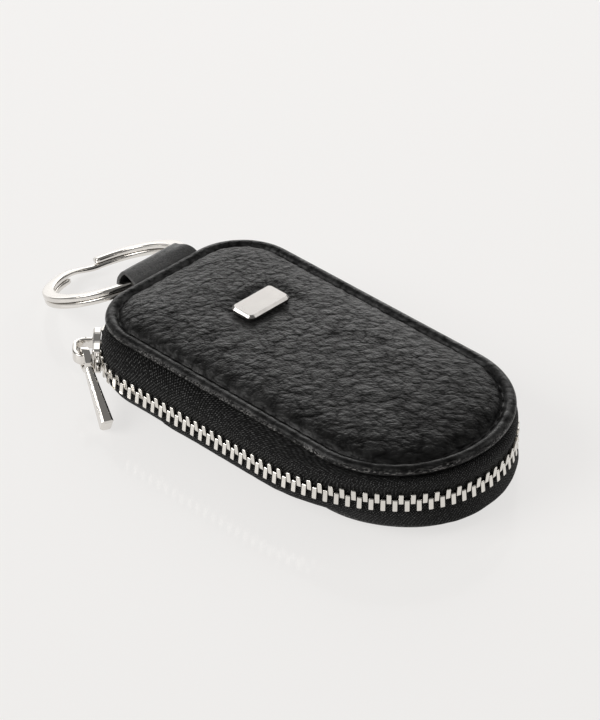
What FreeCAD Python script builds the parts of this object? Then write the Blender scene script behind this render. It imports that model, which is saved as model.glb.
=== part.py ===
import FreeCAD, Part
import math
import os
import Sketcher
from FreeCAD import Placement, Rotation, Vector

# Zip-around leather key case with a split ring, in millimetres, +Z up.
# The origin is the middle of the face that it rests on. +Y points to the spine and the ring,
# -Y to the rounded nose. The two panels are alike, one turned over, and meet at the zip.

SIZES = (
    ("panel_width", 43.6, "width of a panel over its rolled edge"),
    ("panel_back", 42.0, "origin to the back edge of a panel"),
    ("panel_nose", 42.0, "origin to the nose of a panel"),
    ("panel_back_radius", 12.0, "back corners of a panel"),
    ("panel_front_radius", 20.0, "front corners of a panel"),
    ("panel_nose_radius", 24.0, "nose of a panel"),
    ("case_height", 17.6, "closed height, crown to crown"),
    ("crown_height", 1.6, "crown above the rolled edge"),
    ("crown_run", 9.0, "width over which the crown rises"),
    ("crown_corner", 4.0, "back corners of the crown's flat top"),
    ("roll_height", 2.2, "thickness of the rolled edge"),
    ("roll_width", 2.2, "rolled edge outside the stitch groove"),
    ("roll_bevel", 0.7, "bevels of the rolled edge"),
    ("groove_depth", 0.55, "stitch groove below the rolled edge"),
    ("groove_width", 0.3, "floor of the stitch groove"),
    ("groove_bevel", 0.3, "bevel beside the stitch groove"),
    ("skin", 0.8, "leather of the covers"),
    ("skive", 0.5, "leather thinned where it turns in"),
    ("turn_in", 5.5, "width of leather turned in round the board"),
    ("board", 0.9, "stiffening board"),
    ("lining", 0.4, "lining cloth over the sewn tape"),
    ("lining_inset", 2.3, "lining inside the panel edge"),
    ("layer_gap", 0.05, "play between the layers of a panel"),
    ("zip_width", 50.4, "width of the zip line"),
    ("zip_back", 42.0, "origin to the back of the zip line"),
    ("zip_nose", 42.5, "origin to the nose of the zip line"),
    ("zip_back_radius", 16.0, "back corners of the zip line"),
    ("zip_front_radius", 38.0, "front corners of the zip line"),
    ("zip_nose_radius", 21.5, "nose of the zip line"),
    ("tape", 0.6, "thickness of the zip tape"),
    ("tape_tuck", 1.2, "panel edge to where the tape comes out"),
    ("tape_sewn", 5.0, "panel edge to the sewn edge of the tape"),
    ("band_rise", 3.5, "upright band of the tape, above the zip's middle"),
    ("band_shoulder", 0.4, "inside of the tape's bend below its outside"),
    ("tape_edge", 0.6, "edge of the tape above the zip's middle"),
    ("tape_split", 20.0, "how far back the lid carries its tape"),
    ("split_gap", 0.1, "slit between the two stretches of tape"),
    ("tooth_pitch", 2.12, "spacing of the teeth"),
    ("tooth_length", 0.9, "tooth along the chain"),
    ("tooth_thickness", 2.2, "tooth across its legs"),
    ("tooth_head", 1.6, "tooth across its head"),
    ("tooth_leg", 1.9, "ends of the legs above the zip's middle"),
    ("tooth_reach", 0.5, "head past the zip's middle"),
    ("tooth_play", 0.03, "play between a tooth and the tape"),
    ("stop_length", 2.0, "stops along the chain"),
    ("stop_gap", 0.15, "top stops from the zip's middle"),
    ("chain_end_angle", 62.0, "end of the chain round the far back corner"),
    ("spine_width", 26.0, "leather spine between the tape ends"),
    ("spine_thickness", 1.0, "leather of the spine"),
    ("spine_inset", 0.8, "spine inside the back edge of the panels"),
    ("spine_clearance", 0.3, "spine below the lid's rolled edge"),
    ("spine_lining", 0.4, "lining cloth of the spine"),
    ("spine_tape_gap", 0.2, "spine to the ends of the tape"),
    ("tab_width", 14.2, "leather tab that holds the ring"),
    ("tab_leather", 0.7, "leather of the tab"),
    ("tab_offset", 0.95, "tab to the right of the middle"),
    ("tab_foot", 6.5, "lower end of the tab above the table"),
    ("loop_radius", 2.8, "inside of the tab's loop"),
    ("loop_back", 3.3, "middle of the loop behind the panels"),
    ("loop_drop", 4.9, "middle of the loop below the top of the case"),
    ("ring_diameter", 30.0, "split ring over its outside"),
    ("ring_wire", 2.5, "flat wire of the ring, across"),
    ("coil_thickness", 0.95, "flat wire of the ring, thick"),
    ("coil_gap", 0.42, "slit between the two turns"),
    ("coil_ramp", 30.0, "angle over which the wire climbs a turn"),
    ("coil_phase", 98.0, "where the climb starts round the ring"),
    ("rest_gap", 0.05, "ring and pull above the table"),
    ("slider_angle", 45.0, "closed slider round the near back corner"),
    ("slider_length", 7.6, "slider along the chain"),
    ("slider_plate", 0.7, "plates of the slider"),
    ("slider_flange", 0.7, "flanges of the slider"),
    ("slider_flare", 0.3, "slider wider each side at its open end"),
    ("slider_bevel", 0.3, "bevelled edges of the slider"),
    ("slider_play", 0.15, "play between the slider and the chain"),
    ("bail_length", 6.5, "bail along the slider"),
    ("bail_strap", 0.9, "thickness of the bail's strap"),
    ("bail_width", 2.3, "width of the bail's strap"),
    ("bail_height", 3.95, "bail above the slider's plate"),
    ("bail_round", 2.4, "shoulders of the bail"),
    ("eye_hole", 1.75, "radius of the hole in the pull's eye"),
    ("eye_wall", 0.7, "rim of the pull's eye"),
    ("eye_thickness", 1.4, "thickness of the pull's eye"),
    ("eye_stand", 3.35, "eye out from the zip line"),
    ("pull_reach", 14.7, "middle of the eye to the pull's tip"),
    ("pull_neck", 2.2, "height of the pull at its eye"),
    ("pull_tip_width", 2.4, "thickness of the pull at its tip"),
    ("pull_tip_height", 3.5, "height of the pull at its tip"),
    ("pull_bevel", 0.4, "bevelled edges of the pull"),
    ("pull_skew", 20.0, "pull turned in from the slider's line"),
    ("badge_x", 2.9, "middle of the badge plate"),
    ("badge_y", 18.0, "middle of the badge plate"),
    ("badge_length", 11.0, "badge plate across the case"),
    ("badge_width", 6.0, "badge plate along the case"),
    ("badge_thickness", 1.0, "badge plate"),
    ("badge_sink", 0.25, "badge plate let into the leather"),
    ("badge_round", 1.2, "corners of the badge plate"),
    ("badge_bevel", 0.5, "bevel of the badge plate"),
    ("badge_gap", 0.05, "play round the badge plate and its pegs"),
    ("peg_diameter", 1.0, "pegs of the badge plate"),
    ("peg_spacing", 6.0, "distance between the pegs"),
    ("overrun", 1.0, "how far cuts run past what they cut"),
)

# Crown of a panel, from its foot at the groove to the flat top: share of the run, share of the rise.
CROWN_SHARES = ((0.0, 0.0), (0.10, 0.42), (0.42, 0.84), (1.0, 1.0))

# Outline of the slider along its length, from the open end to the chain end, as shares of that length.
SHOULDER_SHARE = -0.22
NECK_SHARE = 0.12
# Wedge that parts the two rows: share of the length, share of the channel's half height.
WEDGE_SHARES = ((-0.15, 0.0), (-0.32, 0.22), (-0.46, 0.12), (-0.46, -0.12), (-0.32, -0.22))

# Levels of a panel, measured up from the middle of the zip.
HALF = "sizes.case_height / 2"
ROLL_TOP = f"({HALF} - sizes.crown_height)"
ROLL_BOTTOM = f"({ROLL_TOP} - sizes.roll_height)"
GROOVE_FLOOR = f"({ROLL_TOP} - sizes.groove_depth)"
BOARD_BOTTOM = f"({ROLL_BOTTOM} + sizes.skive)"
BOARD_TOP = f"({BOARD_BOTTOM} + sizes.board)"
TAPE_BOTTOM = f"({ROLL_BOTTOM} - sizes.tape)"
CROWN_FOOT = "(sizes.roll_width + sizes.groove_width)"

# Middle of the tab's loop, above the table.
LOOP_LEVEL = "(sizes.case_height - sizes.loop_drop)"

# Room inside the slider. Round the corner the chain bows inwards from the straight channel.
CORNER_BOW = "(pow(sizes.slider_length / 2; 2) / (2 * sizes.zip_back_radius))"
CHANNEL_OUT = "(sizes.tooth_thickness / 2 + sizes.slider_play)"
CHANNEL_IN = f"({CHANNEL_OUT} + {CORNER_BOW})"
SLOT_OUT = "(sizes.tape / 2 + sizes.slider_play)"
SLOT_IN = f"({SLOT_OUT} + {CORNER_BOW})"
CHANNEL_HALF = "(sizes.tooth_leg + sizes.slider_play)"
SLIDER_HALF = f"({CHANNEL_HALF} + sizes.slider_flange)"
PLATE_OUT = f"({CHANNEL_OUT} + sizes.slider_plate)"
BAIL_TOP = f"({PLATE_OUT} + sizes.bail_height)"

TOLERANCE = 1e-4
UP = Vector(0, 0, 1)

doc = FreeCAD.newDocument("key_case")
sheet = doc.addObject("Spreadsheet::Sheet", "sizes")
for row, (alias, value, meaning) in enumerate(SIZES, start=1):
    sheet.set(f"A{row}", meaning)
    sheet.set(f"B{row}", str(value))
    sheet.setAlias(f"B{row}", alias)
doc.recompute()

nodes = []


def number(expression):
    """Value of an expression over the sheet's sizes."""
    return float(sheet.evalExpression(expression))


def size(alias):
    return number(f"sizes.{alias}")


# Sketches

def bind(sketch, constraint, expression):
    index = sketch.addConstraint(constraint)
    sketch.setExpression(f"Constraints[{index}]", expression)


def arc(x, y, radius, start, end):
    return Part.ArcOfCircle(Part.Circle(Vector(x, y, 0), UP, radius), start, end)


def outline_sizes(outline, inset, corner=None):
    """Expressions for an outline drawn in by an inset: side, back, three radii, nose centre."""
    return (
        f"sizes.{outline}_width / 2 - ({inset})",
        f"sizes.{outline}_back - ({inset})",
        corner or f"sizes.{outline}_back_radius - ({inset})",
        f"sizes.{outline}_front_radius - ({inset})",
        f"sizes.{outline}_nose_radius - ({inset})",
        f"sizes.{outline}_nose - sizes.{outline}_nose_radius",
    )


def outline_pieces(outline, inset, corner=None):
    """Lines and arcs of an outline, against the clock from the foot of the right side."""
    values = [number(text) for text in outline_sizes(outline, inset, corner)]
    side, back, corner, front, nose, centre = values
    turn = math.acos((side - front) / (nose - front))
    foot = -centre - (nose - front) * math.sin(turn)
    quarter = math.pi / 2
    return [
        Part.LineSegment(Vector(side, foot, 0), Vector(side, back - corner, 0)),
        arc(side - corner, back - corner, corner, 0, quarter),
        Part.LineSegment(Vector(side - corner, back, 0), Vector(corner - side, back, 0)),
        arc(corner - side, back - corner, corner, quarter, 2 * quarter),
        Part.LineSegment(Vector(-side, back - corner, 0), Vector(-side, foot, 0)),
        arc(front - side, foot, front, 2 * quarter, 2 * quarter + turn),
        arc(0, -centre, nose, 2 * quarter + turn, 4 * quarter - turn),
        arc(side - front, foot, front, 4 * quarter - turn, 4 * quarter),
    ]


def draw_outline(sketch, outline, inset, corner=None):
    ids = list(sketch.addGeometry(outline_pieces(outline, inset, corner), False))
    right, right_corner, back_line, left_corner, left, left_front, nose_arc, right_front = ids
    for first, second in zip(ids, ids[1:] + ids[:1]):
        sketch.addConstraint(Sketcher.Constraint("Tangent", first, 2, second, 1))
    sketch.addConstraint(Sketcher.Constraint("Vertical", right))
    sketch.addConstraint(Sketcher.Constraint("Vertical", left))
    sketch.addConstraint(Sketcher.Constraint("Horizontal", back_line))
    sketch.addConstraint(Sketcher.Constraint("PointOnObject", nose_arc, 3, -2))
    side, back, corner, front, nose, centre = outline_sizes(outline, inset, corner)
    bind(sketch, Sketcher.Constraint("DistanceX", -1, 1, right, 1, number(side)), side)
    bind(sketch, Sketcher.Constraint("DistanceX", left, 1, -1, 1, number(side)), side)
    bind(sketch, Sketcher.Constraint("DistanceY", -1, 1, back_line, 1, number(back)), back)
    bind(sketch, Sketcher.Constraint("DistanceY", nose_arc, 3, -1, 1, number(centre)), centre)
    for arc_id, radius in ((right_corner, corner), (left_corner, corner), (left_front, front),
                           (right_front, front), (nose_arc, nose)):
        bind(sketch, Sketcher.Constraint("Radius", arc_id, number(radius)), radius)


def draw_polygon(sketch, corners):
    """Closed polygon whose corners are pairs of expressions."""
    points = [Vector(number(x), number(y), 0) for x, y in corners]
    lines = [Part.LineSegment(a, b) for a, b in zip(points, points[1:] + points[:1])]
    ids = list(sketch.addGeometry(lines, False))
    for line, after in zip(ids, ids[1:] + ids[:1]):
        sketch.addConstraint(Sketcher.Constraint("Coincident", line, 2, after, 1))
    for line, point, (x, y) in zip(ids, points, corners):
        bind(sketch, Sketcher.Constraint("DistanceX", -1, 1, line, 1, point.x), x)
        bind(sketch, Sketcher.Constraint("DistanceY", -1, 1, line, 1, point.y), y)


def draw_rectangle(sketch, left, right, low, high):
    draw_polygon(sketch, ((left, low), (right, low), (right, high), (left, high)))


def draw_bevelled(sketch, half_width, half_height, bevel):
    """Rectangle about the origin with bevelled corners."""
    width, height = f"({half_width} - {bevel})", f"({half_height} - {bevel})"
    draw_polygon(sketch, (
        (f"-{width}", f"-{half_height}"), (width, f"-{half_height}"), (half_width, f"-{height}"),
        (half_width, height), (width, half_height), (f"-{width}", half_height), (f"-{half_width}", height),
        (f"-{half_width}", f"-{height}")))


def draw_circle(sketch, x, y, radius):
    circle = Part.Circle(Vector(number(x), number(y), 0), UP, number(radius))
    index = sketch.addGeometry(circle, False)
    bind(sketch, Sketcher.Constraint("Radius", index, circle.Radius), radius)
    bind(sketch, Sketcher.Constraint("DistanceX", -1, 1, index, 3, circle.Center.x), x)
    bind(sketch, Sketcher.Constraint("DistanceY", -1, 1, index, 3, circle.Center.y), y)


# Bodies and their features

def new_body(label):
    body = doc.addObject("PartDesign::Body", label)
    body.Label = label
    nodes.append(body)
    return body


def sketch_on(body, plane_role, offset):
    """Empty sketch on one of the body's origin planes, moved along that plane's normal."""
    sketch = body.newObject("Sketcher::SketchObject", f"{body.Name}_sketch")
    plane = next(item for item in body.Origin.OriginFeatures if item.Role == plane_role)
    sketch.AttachmentSupport = [(plane, "")]
    sketch.MapMode = "FlatFace"
    sketch.setExpression("AttachmentOffset.Base.z", offset)
    return sketch


def panel_sketch(body, inset, level, corner=None):
    sketch = sketch_on(body, "XY_Plane", level)
    draw_outline(sketch, "panel", inset, corner)
    return sketch


def pad(body, sketch, length):
    feature = body.newObject("PartDesign::Pad", f"{body.Name}_pad")
    feature.Profile = sketch
    feature.setExpression("Length", length)


def pocket(body, sketch, length):
    feature = body.newObject("PartDesign::Pocket", f"{body.Name}_pocket")
    feature.Profile = sketch
    feature.setExpression("Length", length)


def loft(body, kind, sketches):
    feature = body.newObject(f"PartDesign::{kind}", f"{body.Name}_loft")
    feature.Profile = sketches[0]
    feature.Sections = sketches[1:]
    feature.Ruled = True


def dress_edges(body, kind, property_name, expression, wanted):
    """Fillet or chamfer on those edges of the body for which wanted(edge) holds."""
    doc.recompute()
    base = body.Tip
    names = [f"Edge{index}" for index, edge in enumerate(base.Shape.Edges, start=1) if wanted(edge)]
    feature = body.newObject(f"PartDesign::{kind}", f"{body.Name}_{kind}")
    feature.Base = (base, names)
    feature.setExpression(property_name, expression)


def fillet(body, radius, wanted):
    dress_edges(body, "Fillet", "Radius", radius, wanted)


def at_level(*levels):
    heights = [number(level) for level in levels]

    def wanted(edge):
        box = edge.BoundBox
        return any(abs(box.ZMin - z) < TOLERANCE and abs(box.ZMax - z) < TOLERANCE for z in heights)
    return wanted


def on_sketch(sketch):
    """Edges whose middle lies on a sketch."""
    def wanted(edge):
        middle = edge.valueAt((edge.FirstParameter + edge.LastParameter) / 2)
        return Part.Vertex(middle).distToShape(sketch.Shape)[0] < TOLERANCE
    return wanted


def upright_at(x, y):
    """Edges parallel to Z at the given place."""
    def wanted(edge):
        box = edge.BoundBox
        here = abs(box.XMin - x) + abs(box.XMax - x) + abs(box.YMin - y) + abs(box.YMax - y)
        return here < TOLERANCE
    return wanted


# Panels: leather cover, padding, board and lining

def place_panel(body, upper):
    body.Placement = Placement(Vector(0, 0, number(HALF)), Rotation(Vector(0, 1, 0), 0 if upper else 180))
    body.setExpression("Placement.Base.z", HALF)


def crown_sections(body, inset, foot, top):
    """Outlines of the crown, or of the hollow under it, with back corners that tighten to the top."""
    foot_corner = f"(sizes.panel_back_radius - {CROWN_FOOT} - ({inset}))"
    return [
        panel_sketch(body, f"{CROWN_FOOT} + {inset} + sizes.crown_run * {run_share}",
                     f"{foot} + ({top} - {foot}) * {rise_share}",
                     f"{foot_corner} * {1 - run_share} + sizes.crown_corner * {run_share}")
        for run_share, rise_share in CROWN_SHARES
    ]


def make_cover(label, upper):
    """Leather turned in round the board, with a rolled edge, a stitch groove and a padded crown."""
    body = new_body(label)
    slab = panel_sketch(body, "0", ROLL_BOTTOM)
    pad(body, slab, "sizes.roll_height")
    dress_edges(body, "Chamfer", "Size", "sizes.roll_bevel", at_level(ROLL_BOTTOM, ROLL_TOP))
    groove = panel_sketch(body, "sizes.roll_width", ROLL_TOP)
    pocket(body, groove, "sizes.groove_depth")
    dress_edges(body, "Chamfer", "Size", "sizes.groove_bevel", on_sketch(groove))
    loft(body, "AdditiveLoft", crown_sections(body, "0", GROOVE_FLOOR, HALF))
    opening = panel_sketch(body, "sizes.turn_in", BOARD_BOTTOM)
    pocket(body, opening, "sizes.skive + sizes.overrun")
    board_seat = panel_sketch(body, "sizes.skin", BOARD_TOP)
    pocket(body, board_seat, "sizes.board")
    hollow = crown_sections(body, "sizes.skin", BOARD_TOP, f"({HALF} - sizes.skin)")
    loft(body, "SubtractiveLoft", hollow)
    place_panel(body, upper)
    return body


def make_padding(label, upper):
    body = new_body(label)
    top = f"({HALF} - sizes.skin - sizes.layer_gap)"
    loft(body, "AdditiveLoft", crown_sections(body, "sizes.skin + sizes.layer_gap", BOARD_TOP, top))
    place_panel(body, upper)
    return body


def make_board(label, upper):
    body = new_body(label)
    pad(body, panel_sketch(body, "sizes.skin + sizes.layer_gap", BOARD_BOTTOM), "sizes.board")
    place_panel(body, upper)


def make_lining(label, upper):
    """Cloth over the sewn edge of the tape, thicker in the middle where it lies on the board."""
    body = new_body(label)
    pad(body, panel_sketch(body, "sizes.lining_inset", f"{TAPE_BOTTOM} - sizes.lining"), "sizes.lining")
    middle = panel_sketch(body, "sizes.turn_in + sizes.layer_gap", TAPE_BOTTOM)
    pad(body, middle, f"{BOARD_BOTTOM} - {TAPE_BOTTOM}")
    place_panel(body, upper)


def badge_pegs(sketch, radius):
    for side in ("-", "+"):
        draw_circle(sketch, f"sizes.badge_x {side} sizes.peg_spacing / 2", "sizes.badge_y", radius)


def badge_rectangle(sketch, gap):
    draw_rectangle(
        sketch,
        f"sizes.badge_x - sizes.badge_length / 2 - {gap}", f"sizes.badge_x + sizes.badge_length / 2 + {gap}",
        f"sizes.badge_y - sizes.badge_width / 2 - {gap}", f"sizes.badge_y + sizes.badge_width / 2 + {gap}")


def make_badge(cover, padding):
    """Plain bevelled plate let into the leather, held by two pegs, with its seat and holes."""
    seat = sketch_on(cover, "XY_Plane", HALF)
    badge_rectangle(seat, "sizes.badge_gap")
    pocket(cover, seat, "sizes.badge_sink")
    peg_hole = "sizes.peg_diameter / 2 + sizes.badge_gap"
    for body in (cover, padding):
        holes = sketch_on(body, "XY_Plane", HALF)
        badge_pegs(holes, peg_hole)
        pocket(body, holes, f"{HALF} - {BOARD_TOP}")
    plate = new_body("badge_plate")
    foot = f"({HALF} - sizes.badge_sink)"
    outline = sketch_on(plate, "XY_Plane", foot)
    badge_rectangle(outline, "0")
    pad(plate, outline, "sizes.badge_thickness")

    def upright(edge):
        return edge.BoundBox.ZLength > TOLERANCE
    fillet(plate, "sizes.badge_round", upright)
    dress_edges(plate, "Chamfer", "Size", "sizes.badge_bevel", at_level(f"{foot} + sizes.badge_thickness"))
    pegs = sketch_on(plate, "XY_Plane", f"{BOARD_TOP} + sizes.layer_gap")
    badge_pegs(pegs, "sizes.peg_diameter / 2")
    pad(plate, pegs, f"{foot} - {BOARD_TOP} - sizes.layer_gap")
    place_panel(plate, True)


# Zip tapes

def level_sketch(name, outline, inset, level):
    """Outline at a level above the middle of the zip."""
    sketch = doc.addObject("Sketcher::SketchObject", name)
    draw_outline(sketch, outline, inset)
    sketch.setExpression("Placement.Base.z", f"{HALF} + {level}")
    return sketch


def ruled_solid(name, sketches):
    solid = doc.addObject("Part::Loft", name)
    solid.Sections = sketches
    solid.Solid = True
    solid.Ruled = True
    return solid


def combine(kind, label, base, tool):
    feature = doc.addObject(f"Part::{kind}", label)
    feature.Label = label
    feature.Base = base
    feature.Tool = tool
    return feature


def box(label, low, high):
    """Box between two corners given as expressions."""
    solid = doc.addObject("Part::Box", label)
    solid.Label = label
    for axis, name, a, b in zip("xyz", ("Length", "Width", "Height"), low, high):
        solid.setExpression(name, f"({b}) - ({a})")
        solid.setExpression(f"Placement.Base.{axis}", a)
    return solid


def tape_stretch(name, levels, tuck_level):
    """Solid under one face of the tape: from the panel out to the zip line and down its band."""
    shoulder, offset = levels
    return ruled_solid(name, [
        level_sketch(f"{name}_panel", "panel", "sizes.tape_tuck", tuck_level),
        level_sketch(f"{name}_shoulder", "zip", offset, shoulder),
        level_sketch(f"{name}_edge", "zip", offset, "sizes.tape_edge"),
    ])


def make_tapes():
    """Upper tape, split where the lid stops carrying it, and the lower tape in one piece."""
    outer = tape_stretch("tape_outer", ("sizes.band_rise", "-sizes.tape / 2"), ROLL_BOTTOM)
    inner = tape_stretch("tape_inner", ("sizes.band_rise - sizes.band_shoulder", "sizes.tape / 2"), TAPE_BOTTOM)
    middle = doc.addObject("Part::Extrusion", "tape_middle")
    middle.Base = level_sketch("tape_sewn_edge", "panel", "sizes.tape_sewn", f"{TAPE_BOTTOM} - sizes.overrun")
    middle.Dir = UP
    middle.Solid = True
    middle.setExpression("LengthFwd", "sizes.tape + 2 * sizes.overrun")
    wall = combine("Cut", "tape_wall", combine("Cut", "tape_hollow", outer, inner), middle)

    side = "sizes.zip_width / 2 + sizes.overrun"
    back = "sizes.zip_back + sizes.overrun"
    top = f"{HALF} + {ROLL_BOTTOM}"
    spine_edge = "sizes.spine_width / 2 + sizes.spine_tape_gap"
    behind = box("tape_behind", (f"-({side})", "sizes.tape_split", "0"), (side, back, "sizes.case_height"))
    nodes.append(combine("Cut", "upper_tape", wall, behind))
    ends = (("left", f"-({side})", f"-({spine_edge})"), ("right", spine_edge, side))
    for name, low, high in ends:
        room = box(f"tape_room_{name}", (low, "sizes.tape_split + sizes.split_gap", "0"),
                   (high, back, f"{top} - sizes.tape"))
        nodes.append(combine("Common", f"upper_tape_{name}_end", wall, room))
    mirror = doc.addObject("Part::Mirroring", "tape_mirror")
    mirror.Source = wall
    mirror.Normal = UP
    mirror.setExpression("Base.z", HALF)
    spine_room = box("tape_spine_room", (f"-({spine_edge})", "sizes.tape_split", "0"),
                     (spine_edge, back, "sizes.case_height"))
    nodes.append(combine("Cut", "lower_tape", mirror, spine_room))


# Zip teeth and stops, set out along the zip line

class ZipLine:
    """The zip line from the near back corner round the nose to the far back corner."""

    def __init__(self):
        pieces = outline_pieces("zip", "0")
        self.pieces = pieces[3:] + pieces[:2]
        self.length = sum(piece.length() for piece in self.pieces)

    def place(self, distance):
        """Placement on the line: X along it, Y inwards."""
        for piece in self.pieces:
            if distance <= piece.length():
                break
            distance -= piece.length()
        parameter = piece.parameterAtDistance(distance, piece.FirstParameter)
        point = piece.value(parameter)
        tangent = piece.tangent(parameter)[0]
        turn = math.degrees(math.atan2(tangent.y, tangent.x))
        return Placement(Vector(point.x, point.y, number(HALF)), Rotation(UP, turn))

    def corner(self, angle):
        """Distance along the near back corner, for an angle counted from the side."""
        return math.radians(90 - angle) * size("zip_back_radius")


def clamp(length, reach, upper):
    """Element pinched on the edge of a tape: two legs with a slot, and a head that tapers."""
    side = 1 if upper else -1
    leg, half, head = size("tooth_leg"), size("tooth_thickness") / 2, size("tooth_head") / 2
    slot = size("tape") / 2 + size("tooth_play")
    slot_end = size("tape_edge") - size("tooth_play")
    profile = ((-half, leg), (-slot, leg), (-slot, slot_end), (slot, slot_end), (slot, leg), (half, leg),
               (head, reach), (-head, reach), (-half, leg))
    points = [Vector(-length / 2, y, side * z) for y, z in profile]
    return Part.Face(Part.makePolygon(points)).extrude(Vector(length, 0, 0))


def row_feature(label, solid, places):
    """Copies of one solid at several places, as one node."""
    feature = doc.addObject("Part::Feature", label)
    feature.Label = label
    copies = []
    for place in places:
        copy = solid.copy()
        copy.Placement = place
        copies.append(copy)
    feature.Shape = Part.makeCompound(copies)
    nodes.append(feature)


def make_chain():
    """Both rows of teeth, split where the lid's tape is, with stops at their ends."""
    line = ZipLine()
    straight = size("zip_back") - size("zip_back_radius") - size("tape_split")
    left_split = line.corner(0) + straight
    right_split = line.length - left_split
    count = round((right_split - left_split) / size("tooth_pitch"))
    pitch = (right_split - left_split) / count
    slider = line.corner(size("slider_angle"))
    last = line.length - line.corner(size("chain_end_angle"))
    first_tooth = slider + size("slider_length") * WEDGE_SHARES[0][0] + size("tooth_length")

    def places(offset, start, end):
        index = math.ceil((start - left_split) / pitch - offset)
        found = []
        while left_split + (index + offset) * pitch < end:
            found.append(line.place(left_split + (index + offset) * pitch))
            index += 1
        return found

    upper = clamp(size("tooth_length"), -size("tooth_reach"), True)
    lower = clamp(size("tooth_length"), -size("tooth_reach"), False)
    row_feature("upper_teeth", upper, places(0.5, left_split, right_split))
    row_feature("upper_teeth_left_end", upper, places(0.5, first_tooth, left_split))
    row_feature("upper_teeth_right_end", upper, places(0.5, right_split, last))
    row_feature("lower_teeth", lower, places(0, left_split, last))
    row_feature("lower_teeth_left_end", lower, places(0, first_tooth, left_split))

    stop_place = line.place(slider - (size("slider_length") + size("stop_length")) / 2 - size("slider_play"))
    stops = [clamp(size("stop_length"), size("stop_gap"), upper_row) for upper_row in (True, False)]
    row_feature("top_stops", Part.makeCompound(stops), [stop_place])

    stop = new_body("bottom_stop")
    section = sketch_on(stop, "YZ_Plane", "-sizes.stop_length / 2")
    half = "sizes.tooth_thickness / 2"
    slot = "(sizes.tape / 2 + sizes.tooth_play)"
    leg = "sizes.tooth_leg"
    slot_end = "(sizes.tape_edge - sizes.tooth_play)"
    draw_polygon(section, (
        (f"-{half}", f"-{leg}"), (f"-{slot}", f"-{leg}"), (f"-{slot}", f"-{slot_end}"), (slot, f"-{slot_end}"),
        (slot, f"-{leg}"), (half, f"-{leg}"), (half, leg), (slot, leg), (slot, slot_end),
        (f"-{slot}", slot_end), (f"-{slot}", leg), (f"-{half}", leg)))
    pad(stop, section, "sizes.stop_length")
    stop.Placement = line.place(last + (size("stop_length") + size("tooth_length")) / 2)
    return line.place(slider)


# Spine and tab

def make_spine():
    """Leather strip that joins the panels at the back, with its lining."""
    outer = "sizes.panel_back - sizes.spine_inset"
    inner = f"{outer} - sizes.spine_thickness"
    low = f"{HALF} - {ROLL_BOTTOM}"
    high = f"{HALF} + {ROLL_BOTTOM} - sizes.spine_clearance"
    half = "sizes.spine_width / 2"
    nodes.append(box("spine", (f"-{half}", inner, low), (half, outer, high)))
    lining_low = f"{HALF} - {TAPE_BOTTOM} + sizes.lining + sizes.spine_clearance"
    lining_high = f"{HALF} + {TAPE_BOTTOM} - sizes.lining - sizes.spine_clearance"
    nodes.append(box("spine_lining", (f"-{half}", f"{inner} - sizes.spine_lining", lining_low),
                     (half, inner, lining_high)))


def make_tab():
    """Strap sewn to the spine and folded round the wire of the ring."""
    body = new_body("ring_tab")
    edge = "sizes.tab_offset - sizes.tab_width / 2"
    middle = "sizes.panel_back + sizes.loop_back"
    foot = "sizes.panel_back - sizes.spine_inset"
    roll = sketch_on(body, "YZ_Plane", edge)
    draw_circle(roll, middle, LOOP_LEVEL, "sizes.loop_radius + sizes.tab_leather")
    pad(body, roll, "sizes.tab_width")
    tail = sketch_on(body, "YZ_Plane", edge)
    draw_rectangle(tail, foot, f"{foot} + 2 * sizes.tab_leather", "sizes.tab_foot", LOOP_LEVEL)
    pad(body, tail, "sizes.tab_width")
    bore = sketch_on(body, "YZ_Plane", f"{edge} + sizes.tab_width")
    draw_circle(bore, middle, LOOP_LEVEL, "sizes.loop_radius")
    pocket(body, bore, "sizes.tab_width")


# Split ring

def rest_angle(reach, depth, height):
    """Angle below level at which a bar of that reach and half depth comes down to the table."""
    drop = height - size("rest_gap")
    return math.degrees(math.asin(drop / math.hypot(reach, depth)) - math.atan2(depth, reach))


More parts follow.
